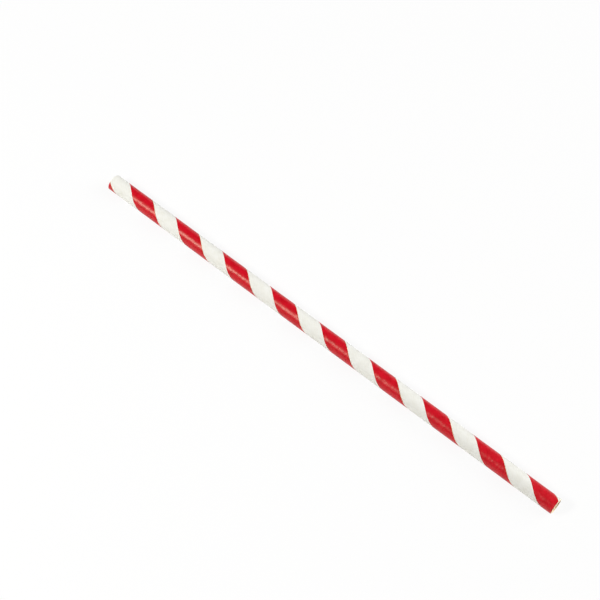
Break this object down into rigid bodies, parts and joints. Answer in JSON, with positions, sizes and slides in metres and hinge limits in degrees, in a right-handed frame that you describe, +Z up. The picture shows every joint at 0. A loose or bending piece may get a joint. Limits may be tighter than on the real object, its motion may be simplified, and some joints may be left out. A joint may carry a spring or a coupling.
{
  "type": "paper drinking straw",
  "caption": "Paper drinking straw: a thin-walled, spiral-wound paper tube with a red and white spiral stripe, open at both ends, lying on its side.",
  "frame": {"origin": "on the surface that the straw lies on, under the middle of its length", "axes": "+X along the straw, with the end that is nearer in the picture at +X; +Z up"},
  "size_m": [0.197, 0.006, 0.0061],
  "materials": {
    "printed_paper": "satin white paper, half of it printed red in one spiral band"
  },
  "bodies": {
    "root": {"straw_tube": "printed_paper"}
  },
  "joints": []
}
